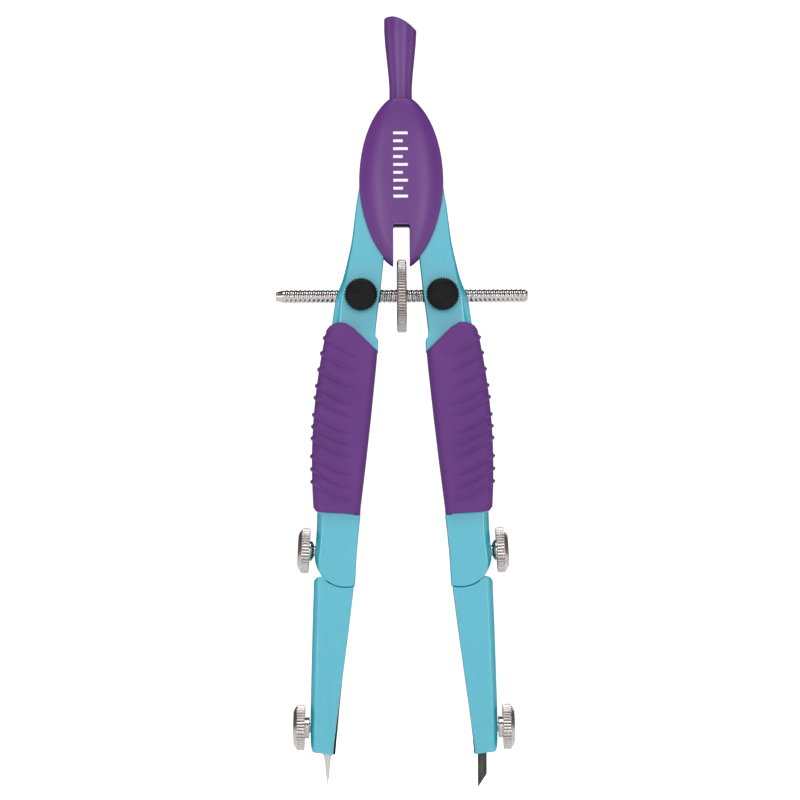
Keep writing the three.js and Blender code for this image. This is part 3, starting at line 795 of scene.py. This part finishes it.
def spindle_window():
    """Blocks that together let the spindle through the leg at every angle of the leg."""
    half = 1.65
    block = box((-8, -half, -half), (8, half, half))
    centre = Matrix.Translation(NUT)
    return [moved(block, centre @ Matrix.Rotation(math.radians(a), 4, "Y")) for a in (-6, 13, 32)]


def upper_leg(name, side):
    """The bar from the head to the knee, bored for the pivot, the barrel and the knee pin."""
    obj = leg_bar(f"{name}_leg_bar", upper_leg_outline(side), side)
    knee_slot = [(8, 40), (17.2, 40), (17.2, 52.9), (14.5, 53.4), (8, 53.4)]
    at_pivot = facing_back(PIVOT.x, 0, PIVOT.z)
    cuts = [
        rod(PIVOT_BORE, -5, 5, at_pivot, 40),
        rod(2.95, -5, -2.55, at_pivot),
        rod(BARREL_RADIUS + RUN, -5, 5, facing_back(NUT.x, 0, NUT.z), 72),
        *spindle_window(),
        prism(knee_slot, -KNEE_SLOT_HALF, KNEE_SLOT_HALF),
        rod(KNEE_BORE, -2.25, 5, facing_back(KNEE.x, 0, KNEE.z), 36),
    ]
    for cut in cuts:
        combine(obj, on_side(cut, side))
    combine(obj, rod(1.5, -3, 4, on_joint(f"{name}_knee_screw_turn"), 40))
    return piece(obj, LACQUER, f"{name}_leg", "turquoise_lacquer", f"{name}_upper_leg", sharp=32)


def lower_leg_outline():
    """(x, h, edge width) round the lower leg's front view."""
    seat = arc(KNEE.x, KNEE.z, KNEE_RADIUS + KNEE_SEAM, -104.5, -40, 20)
    out = [(x, h, 0.2) for x, h in seat]
    corner = rounded([(17.95, 46.2, 0), (19.0, 46.05, 0.6), (19.66, 45.2, 0.9), (19.68, 43.5, 0)])[1:]
    outer = spline([(19.68, 43.5), (20.09, 31.3), (20.53, 13.6), (20.46, 9.2)], 5)
    out += [(x, h, between(h, LOWER_EDGE)) for x, h in [*corner, *outer[1:]]]
    foot = rounded([(20.46, 9.2, 0), (20.2, 7.7, 0.6), (15.58, 7.1, 0.25), (15.4, 9.2, 0)])[1:]
    out += [(x, h, 0.9 if x > 19.9 else 0.25) for x, h in foot]
    out += [(x, h, 0.25) for x, h in [(14.25, 18), (13.05, 26.9), (11.95, 35.2)]]
    return out


def lower_leg(name, side):
    """The bar below the knee, with its tongue, the pin's eye, and a pocket for the tip's insert."""
    obj = leg_bar(f"{name}_shin_bar", lower_leg_outline(), side)
    at_knee = facing_back(KNEE.x, 0, KNEE.z)
    tongue = rounded([(11.6, 43, 0), (16.9, 43, 0), (16.9, 45.6, 0.4), (14.7, 50.7, 0), (10.5, 50.7, 0),
                      (10.5, 49.5, 0)])
    combine(obj, on_side(prism(tongue, -1, 1), side), "UNION")
    combine(obj, on_side(rod(2.2, -1, 1, at_knee, 60), side), "UNION")
    pocket_out, pocket_top = 18.9, 27.2
    pocket_half = INSERT_HALF_DEPTH + RUN
    pocket = box((5, -pocket_half, -1), (pocket_out, pocket_half, pocket_top))
    for cut in (rod(KNEE_BORE, -5, 5, at_knee, 36), pocket):
        combine(obj, on_side(cut, side))
    combine(obj, rod(1.4, -3, 3, on_joint(f"{name}_clamp_screw_turn"), 40))
    return piece(obj, LACQUER, f"{name}_shin", "turquoise_lacquer", f"{name}_lower_leg", sharp=32)


# ---------------- grips
# The grip's inner edge, from below: (height, x)
GRIP_INNER = [(59.9, 9.35), (61, 9.31), (71.6, 7.99), (80.9, 6.92), (91.5, 5.8), (95.8, 5.4), (102, 4.7)]
GRIP_FULLEST = {"x": 20, "h": 70.5, "above": 0.0037, "below": 0.0035}
# The height of the grip's lower and upper ends, from the inner side (0) to the outer (1)
GRIP_BOTTOM = [(0, 59.75), (0.8, 60.25), (0.9, 60.35), (0.96, 60.6), (1, 61.2)]
GRIP_TOP = [(0, 95.85), (0.55, 101.3), (0.6, 101.55), (0.66, 101.9), (0.75, 102.05), (0.87, 101.9),
            (0.96, 101.35), (1, 100.6)]
RIB = {"slope": 0.82, "bend": 0.042, "reach": 9.4, "fade": 2.4}
# Each rib's half thickness and height, at the outer edge and farther in
RIB_AT_EDGE = {"thick": 0.5, "proud": 0.46}
RIB_INSIDE = {"thick": 0.58, "proud": 0.52}


def grip_edge(h):
    """The bulging outer edge of the grip."""
    fall = GRIP_FULLEST["above"] if h > GRIP_FULLEST["h"] else GRIP_FULLEST["below"]
    return GRIP_FULLEST["x"] - fall * (h - GRIP_FULLEST["h"]) ** 2


def rib_drop(inwards):
    """How far a rib has come down, at a distance in from the outer edge."""
    return RIB["slope"] * inwards - RIB["bend"] * inwards ** 2


def rib_height(x, h):
    """How proud of the grip's skin its ribs stand, at a place in the front view."""
    inwards = max(0.0, grip_edge(h) - x)
    level = h + rib_drop(min(inwards, RIB["reach"]))
    inside = smoothstep(inwards / 1.6)
    thick = RIB_AT_EDGE["thick"] * (1 - inside) + RIB_INSIDE["thick"] * inside
    proud = RIB_AT_EDGE["proud"] * (1 - inside) + RIB_INSIDE["proud"] * inside
    away = min(1.0, min(abs(level - rib) for rib in RIB_HEIGHTS) / thick)
    bead = math.cos(away * math.pi / 2) ** (1 + inside)
    fade = smoothstep((RIB["reach"] - inwards) / RIB["fade"])
    return proud * bead * fade


def grip_ring_unit(count):
    """(across, depth) round a grip's section, both from -1 to 1: a circle drawn out towards a square."""
    power = 2 / GRIP_SQUARENESS
    out = []
    for k in range(count):
        turn = 2 * math.pi * k / count
        c, d = math.cos(turn), math.sin(turn)
        out.append((abs(c) ** power * math.copysign(1, c), abs(d) ** power * math.copysign(1, d)))
    return out


def grip_level(across, t):
    """The height of the mesh line t of the way up. Away from the ends the lines run with the ribs."""
    low = between(across, GRIP_BOTTOM) + GRIP_ROUND_OVER
    high = between(across, GRIP_TOP) - GRIP_ROUND_OVER
    flat = low + (high - low) * t
    outer_low = between(1, GRIP_BOTTOM)
    outer = outer_low + (between(1, GRIP_TOP) - outer_low) * t
    inwards = (1 - across) * 11.4
    slanted = outer - rib_drop(min(inwards, RIB["reach"]))
    along_ribs = smoothstep(t / 0.25) * smoothstep((1 - t) / 0.12)
    return flat + (slanted - flat) * along_ribs


def grip_point(u, v, t, s):
    """A point of the outer skin: (u, v) round the section, t up the grip, s round an end's edge."""
    across = (u + 1) / 2
    shrink = GRIP_ROUND_OVER * (1 - math.sqrt(1 - s * s))
    lift = GRIP_ROUND_OVER * s * (1 if t > 0.5 else -1)
    h = grip_level(across, t) + lift
    x_in, x_out = between(h, GRIP_INNER), grip_edge(h)
    flat = x_in + (x_out - x_in) * across
    proud = rib_height(flat, h) * (1 - s)
    nx, ny = superellipse_normal(u, v, (x_out - x_in) / 2, GRIP_HALF_DEPTH)
    x = flat + nx * (proud - shrink)
    y = v * GRIP_HALF_DEPTH + ny * (proud - shrink)
    return x, y, h


def grip_shape():
    """A thick sleeve: its outer skin from the bottom to the top, then its inner skin back down."""
    unit = grip_ring_unit(112)
    levels = 300
    edge_steps = (0.07, 0.2, 0.4, 0.7, 1.0)
    steps = [(0, s) for s in reversed(edge_steps)]
    steps += [(i / levels, 0.0) for i in range(levels + 1)]
    steps += [(1, s) for s in edge_steps]
    rings = [[grip_point(u, v, t, s) for u, v in unit] for t, s in steps]
    rings += grip_inner_rings(unit)
    return loft(rings, closed=False)


def superellipse_normal(u, v, half_x, half_y):
    """The outward direction of the grip's section at a unit point."""
    power = GRIP_SQUARENESS - 1
    nx = math.copysign(abs(u) ** power, u) / half_x
    ny = math.copysign(abs(v) ** power, v) / half_y
    size = math.hypot(nx, ny) or 1
    return nx / size, ny / size


def grip_inner_rings(unit):
    """The hollow round the leg's core, from the top back down."""
    inner_side = [(6.6, 98.0), *CORE_INNER, (10.75, 59)]
    outer_side = [(18.87, 59), (18.87, 61.2), *CORE_OUTER, (15.5, 101), (15.3, 102.6)]
    inner = [(h, x - GRIP_GAP) for x, h in reversed(inner_side)]
    outer = [(h, x + GRIP_GAP) for x, h in outer_side]
    half = LEG_HALF_DEPTH + GRIP_GAP
    rings = []
    for t in [1 - i / 24 for i in range(25)]:
        ring = []
        for u, v in unit:
            across = (u + 1) / 2
            low = between(across, GRIP_BOTTOM) + GRIP_GAP
            high = between(across, GRIP_TOP) - GRIP_GAP
            h = low + (high - low) * t
            size = max(abs(u), abs(v))
            x_in, x_out = between(h, inner), between(h, outer)
            x = (x_in + x_out) / 2 + (x_out - x_in) / 2 * u / size
            ring.append((x, half * v / size, h))
        rings.append(ring)
    return rings


def grip(name, side):
    """The soft ribbed sleeve round an upper leg."""
    obj = mesh_object(f"{name}_ribbed_sleeve", on_side(grip_shape(), side))
    return piece(obj, SOFT, f"{name}_leg", "soft_grip", f"{name}_grip", sharp=60)


# ---------------- screws, knobs, wheel and spindle
def rim(radius, start, end, chamfer_start, chamfer_end, steps=5):
    """(radius, along) over a rim with a straight chamfer at each end."""
    out = []
    for k in range(steps):
        along = start + chamfer_start * 0.8 * k / steps
        out.append((radius - chamfer_start + chamfer_start * k / steps, along))
    out.append((radius, start + chamfer_start * 0.8))
    out.append((radius, end - chamfer_end * 0.7))
    for k in range(1, steps + 1):
        along = end - chamfer_end * 0.7 * (1 - k / steps)
        out.append((radius - chamfer_end * k / steps, along))
    return out


def thumb_screw(name, kind, radius, head, stem):
    """A knurled thumb screw on its own joint. kind is knee or clamp."""
    place = on_joint(f"{name}_{kind}_screw_turn")
    teeth = knurl(radius, SCREW_TOOTH_DEPTH, SCREW_TEETH)
    obj = mesh_object(f"{name}_{kind}_thumbwheel", moved(lathe(head, SCREW_TEETH * 8, teeth), place))
    combine(obj, moved(lathe(stem, 64), place), "UNION")
    return piece(obj, NICKEL, f"{name}_{kind}_thumb", "nickel", f"{name}_{kind}_screw", sharp=24)


def knee_thumb_screw(name):
    """The screw that presses on a knee's tongue. Its neck starts to flare outside the leg."""
    radius = 4.93
    dish = [(3.9, 3.55), (3.3, 3.75), (2.9, 3.62), (1.2, 3.7)]
    head = [(2.5, 1.18), *rim(radius, 1.2, 3.35, 0.14, 0.75), *dish]
    shank = [(0.55, -4.4), (0.9, -4.1), (0.9, -2.5), (1.18, -2.35), (1.18, 0.22)]
    flare = [(1.45, 0.3), (1.78, 0.44), (2.06, 0.6), (2.28, 0.8), (2.43, 1.02), (2.48, 1.3)]
    return thumb_screw(name, "knee", radius, head, [*shank, *flare])


def clamp_thumb_screw(name):
    """The screw that clamps a needle or lead."""
    radius = 4.97
    dish = [(3.95, 3.62), (3.35, 3.82), (2.95, 3.68), (1.2, 3.76)]
    head = [(2.4, 1.2), *rim(radius, 1.25, 3.45, 0.14, 0.75), *dish]
    stem = [(0.7, -2.1), (1.08, -1.75), (1.08, 0.25), (2.25, 0.25), (2.43, 0.36), (2.43, 1.3)]
    return thumb_screw(name, "clamp", radius, head, stem)


def release_knob(name, side):
    """The black serrated button in front of a nut, with a slightly domed face."""
    radius = (BUTTON_HIGH.x - BUTTON_LOW.x) / 2 + KNOB_PROUD
    front, back = BUTTON_LOW.y, BUTTON_HIGH.y

    def teeth(turn):
        return radius - KNOB_TOOTH_DEPTH * abs(math.sin(turn * KNOB_TEETH / 2))

    # The face's fall from its middle outwards: (radius, depth behind the front)
    dome = [(0.4, 0), (1.4, 0.02), (2.3, 0.08), (2.9, 0.2), (3.15, 0.34), (3.35, 0.5), (3.48, 0.66)]
    face = [(r, front + fall) for r, fall in dome]
    edge = [(radius, front + 0.85), (radius, back - 0.15), (radius - 0.15, back), (1, back)]
    place = facing_back(side * NUT.x, 0, NUT.z)
    shape = moved(lathe([*face, *edge], KNOB_TEETH * 8, teeth), place)
    obj = mesh_object(f"{name}_serrated_knob", shape)
    combine(obj, rod(2.4, -5.85, 0, place))
    return piece(obj, BLACK, f"{name}_button", "black_plastic", f"{name}_release_button", sharp=30)


def back_cap(name, side):
    """The black cap that closes the nut's barrel behind, with a coin slot."""
    radius = (CAP_HIGH.x - CAP_LOW.x) / 2
    front, back = CAP_LOW.y, CAP_HIGH.y
    place = facing_back(side * NUT.x, 0, NUT.z)
    profile = [(1, front), (radius - 0.1, front), (radius, front + 0.1), (radius, back - 0.45),
               (radius - 0.12, back - 0.18), (radius - 0.4, back), (0.4, back)]
    obj = mesh_object(f"{name}_slotted_cap", moved(lathe(profile, 96), place))
    combine(obj, moved(lathe([(2.85, 0), (2.85, 3.95), (2.5, 3.95), (2.5, 4.3)], 60), place))
    x = side * NUT.x
    combine(obj, box((x - 2.5, back - 0.4, NUT.z - 0.42), (x + 2.5, back + 1, NUT.z + 0.42)))
    return piece(obj, BLACK, f"{name}_swivel", "black_plastic", f"{name}_back_cap", sharp=30)


def centre_wheel():
    """The knurled wheel that turns the spindle: straight teeth, a chamfered rim and dished faces."""
    radius = (WHEEL_HIGH.z - WHEEL_LOW.z) / 2
    half = (WHEEL_HIGH.x - WHEEL_LOW.x) / 2
    chamfer = 0.4
    outer = rim(radius, -half, half, chamfer, chamfer)
    face = [(1.62, 0.75), (3.2, 0.75), (3.5, 0.78), (6.2, 0.78), (6.6, half - 0.02), (7.3, half)]
    profile = [(r, -a) for r, a in face] + outer + [(r, a) for r, a in reversed(face)]
    place = Matrix.Translation((0, 0, NUT.z)) @ Matrix.Rotation(math.pi / 2, 4, "Y")
    shape = moved(lathe(profile, WHEEL_TEETH * 8, knurl(radius, 0.3, WHEEL_TEETH)), place)
    obj = mesh_object("knurled_wheel", shape)
    combine(obj, rod(1.5, -3, 3, place))
    # The wheel takes the darker copy of the nickel, with the shade of its knurling painted into its
    # colour
    return piece(obj, SHADED_WHEEL_NICKEL, "wheel", "nickel", "centre_wheel", sharp=24)


def threaded_spindle():
    """The spindle: a left-hand thread on the left half and a right-hand thread on the right."""
    radius = (SPINDLE_HIGH.z - SPINDLE_LOW.z) / 2
    around = 32
    per_turn = 12
    count = round((SPINDLE_HIGH.x - SPINDLE_LOW.x) / THREAD["pitch"] * per_turn)
    plain_half = 1.2
    rings = []
    for i in range(count + 1):
        x = SPINDLE_LOW.x + (SPINDLE_HIGH.x - SPINDLE_LOW.x) * i / count
        from_left = x - SPINDLE_LOW.x
        from_right = SPINDLE_HIGH.x - x
        limit = min(radius, 0.95 + from_left * 0.26, 1.05 + from_right * 0.7)
        ring = []
        for k in range(around):
            turn = 2 * math.pi * k / around
            phase = x / THREAD["pitch"] * 2 * math.pi + (turn if x < 0 else -turn)
            groove = THREAD["depth"] * (0.5 - 0.5 * math.cos(phase)) ** 0.8
            if abs(x) < plain_half:
                groove = 0.12
            r = min(radius - groove, limit)
            ring.append((x, r * math.cos(turn), NUT.z + r * math.sin(turn)))
        rings.append(ring)
    obj = mesh_object("threaded_spindle", loft(rings))
    return piece(obj, NICKEL, "wheel", "nickel", "spindle", sharp=55)


# ---------------- tips
def tip_insert(name, side, tip_x, set_back):
    """The plastic block in the shin's pocket, bored for the tip and its screw.

    set_back is how much farther in its inner edge is than the pocket's.
    """
    edge = [(13.1, 27, 0.3), (14.1, 18, 0), (15.02, 8.2, 0), (15.1, 7.15, 0.3)]
    inner_edge = [(x + set_back, h, radius) for x, h, radius in edge]
    outline = rounded([*inner_edge, (18.8, 7.55, 0.2), (18.8, 27, 0.2)])
    shape = slab(outline, -INSERT_HALF_DEPTH, INSERT_HALF_DEPTH, 0.22)
    obj = mesh_object(f"{name}_tip_holder", on_side(shape, side))
    combine(obj, rod(1.12, 3, 25.5, standing(tip_x, 0, 0)))
    combine(obj, rod(1.4, -3.3, 3, on_joint(f"{name}_clamp_screw_turn"), 40))
    return piece(obj, BLACK, f"{name}_shin", "black_plastic", f"{name}_tip_insert", sharp=32)


def compass_needle():
    """The steel needle: a fine point on a long taper, then a shank."""
    x = (NEEDLE_LOW.x + NEEDLE_HIGH.x) / 2
    point = [(0.015, 0), (0.07, 0.25), (0.12, 0.7), (0.16, 1.3), (0.19, 1.75)]
    taper = [(0.3, 1.95), (0.34, 2.3), (0.5, 3.9), (0.66, 5.6), (0.78, 6.7)]
    shank = [(1, 7.0), (1, 24.8), (0.8, 25), (0.2, 25)]
    shape = moved(lathe([*point, *taper, *shank], 48), standing(x, 0, 0))
    obj = mesh_object("steel_needle", shape)
    return piece(obj, STEEL, "needle_rod", "steel", "needle", sharp=40)


def compass_lead():
    """A drawing lead ground to one bevel, its point on the inner side."""
    x = (LEAD_LOW.x + LEAD_HIGH.x) / 2
    radius = (LEAD_HIGH.x - LEAD_LOW.x) / 2
    profile = [(radius, 0), (radius, 24.8), (radius - 0.2, 25), (0.2, 25)]
    obj = mesh_object("drawing_lead", moved(lathe(profile, 64), standing(x, 0, 0)))
    point = x - radius + 0.08
    outer = x + radius
    bevel = [(point, 0), (outer + 0.1, 3.0), (outer + 0.9, 4.2), (outer + 0.9, -1), (point, -1)]
    combine(obj, prism(bevel, -3, 3))
    return piece(obj, GRAPHITE, "lead_rod", "graphite", "lead", sharp=30)


# ---------------- the object
def finish_cad_node(name, material, width=0.08):
    """Gives a CAD node that stays its material and a small bevel."""
    obj = frame["nodes"][name]
    obj.data.materials.clear()
    obj.data.materials.append(material)
    step = obj.modifiers.new("edges", "BEVEL")
    step.width = width * MM
    step.segments = 2
    step.limit_method = "ANGLE"
    step.angle_limit = math.radians(40)


def build_compass():
    """Every piece of the compass, the head first and the tips last."""
    head_cover("front", -1, VIOLET_PRINTED)
    head_cover("rear", 1, VIOLET)
    handle()
    threaded_spindle()
    centre_wheel()
    for name, side in SIDES:
        pivot_screw(name, side)
        upper_leg(name, side)
        grip(name, side)
        lower_leg(name, side)
        knee_thumb_screw(name)
        clamp_thumb_screw(name)
        release_knob(name, side)
        back_cap(name, side)
        finish_cad_node(f"{name}_friction_washer", BRASS)
        finish_cad_node(f"{name}_knee_pin", STEEL)
        finish_cad_node(f"{name}_trunnion", BRASS)
        finish_cad_node(f"{name}_half_nut", BRASS)
        finish_cad_node(f"{name}_button_spring", STEEL, 0.02)
    tip_insert("left", -1, (NEEDLE_LOW.x + NEEDLE_HIGH.x) / 2, 0)
    tip_insert("right", 1, (LEAD_LOW.x + LEAD_HIGH.x) / 2, 0.3)
    compass_needle()
    compass_lead()


# ---------------- studio
MIDDLE = TIPS + 0.085


def area_light(name, place, size, energy):
    """A rectangular light that points at the object's middle."""
    data = bpy.data.lights.new(name, "AREA")
    data.shape = "RECTANGLE"
    data.size, data.size_y = size
    data.energy = energy
    target = Vector((0, 0, MIDDLE))
    obj = bpy.data.objects.new(name, data)
    obj.location = place
    obj.rotation_mode = "QUATERNION"
    obj.rotation_quaternion = (target - Vector(place)).to_track_quat("-Z", "Y")
    bpy.context.scene.collection.objects.link(obj)


def lights():
    """Strips in front for the metal's bright lines, and wide lights above and behind."""
    area_light("key", (0, -1.08, MIDDLE + 0.2), (0.25, 0.5), 0.7)
    area_light("left_strip", (-0.46, -1.0, MIDDLE + 0.03), (0.2, 0.6), 2.5)
    area_light("right_strip", (0.46, -1.0, MIDDLE + 0.03), (0.2, 0.6), 2.5)
    area_light("left_side", (-1.0, -0.12, MIDDLE + 0.1), (0.3, 0.6), 0.9)
    area_light("right_side", (1.0, -0.12, MIDDLE + 0.1), (0.3, 0.6), 0.9)
    area_light("top", (0, -0.5, MIDDLE + 0.95), (0.8, 0.4), 6.5)
    area_light("back", (0.2, 1.0, MIDDLE + 0.5), (0.8, 0.6), 4)


def floor():
    """A round pale board level with the tips."""
    radius = 0.7
    count = 96
    turns = [2 * math.pi * k / count for k in range(count)]
    points = [(radius * math.cos(turn), radius * math.sin(turn), TIPS) for turn in turns]
    mesh = bpy.data.meshes.new("floor")
    mesh.from_pydata(points, [], [tuple(range(count))])
    mesh.materials.append(pale_floor())
    obj = bpy.data.objects.new("floor", mesh)
    bpy.context.scene.collection.objects.link(obj)


def surroundings():
    """A dim grey all round, darker above, which the camera itself sees as white."""
    world = bpy.data.worlds.new("studio")
    bpy.context.scene.world = world
    world.use_nodes = True
    tree = world.node_tree
    background = tree.nodes["Background"]
    place = tree.nodes.new("ShaderNodeTexCoord")
    split = tree.nodes.new("ShaderNodeSeparateXYZ")
    ramp = tree.nodes.new("ShaderNodeValToRGB")
    tree.links.new(place.outputs["Generated"], split.inputs["Vector"])
    tree.links.new(split.outputs["Z"], ramp.inputs["Fac"])
    below, above = ramp.color_ramp.elements
    below.position = 0.02
    below.color = (0.16, 0.16, 0.16, 1)
    above.position = 0.6
    above.color = (0.05, 0.05, 0.05, 1)
    lit = tree.nodes.new("ShaderNodeMix")
    lit.data_type = "RGBA"
    path = tree.nodes.new("ShaderNodeLightPath")
    tree.links.new(path.outputs["Is Camera Ray"], lit.inputs["Factor"])
    dim, white = [socket for socket in lit.inputs if socket.type == "RGBA"]
    tree.links.new(ramp.outputs["Color"], dim)
    white.default_value = (1.15, 1.15, 1.15, 1)
    mixed = next(socket for socket in lit.outputs if socket.type == "RGBA")
    tree.links.new(mixed, background.inputs["Color"])
    background.inputs["Strength"].default_value = 1.0
    bpy.context.scene.view_settings.view_transform = "Standard"


def camera():
    """From the front, a metre away, a little low and to the left, as such a tool is usually shown."""
    distance = 1.0
    target = Vector((-0.0005, 0, TIPS + 0.0851))
    azimuth, elevation, roll = math.radians(-0.4), math.radians(-3.2), math.radians(0.3)
    seen_height = 0.1765
    level_out = math.cos(elevation)
    back = Vector((math.sin(azimuth) * level_out, -math.cos(azimuth) * level_out, math.sin(elevation)))
    data = bpy.data.cameras.new("camera")
    data.sensor_width = 36
    data.lens = data.sensor_width / 2 / (seen_height / 2 / distance)
    data.clip_start, data.clip_end = 0.05, 20
    obj = bpy.data.objects.new("camera", data)
    obj.rotation_mode = "QUATERNION"
    obj.location = target + back * distance
    upright = (-back).to_track_quat("-Z", "Y")
    obj.rotation_quaternion = upright @ Matrix.Rotation(-roll, 4, "Z").to_quaternion()
    bpy.context.scene.collection.objects.link(obj)
    bpy.context.scene.camera = obj


build_compass()
floor()
lights()
surroundings()
camera()
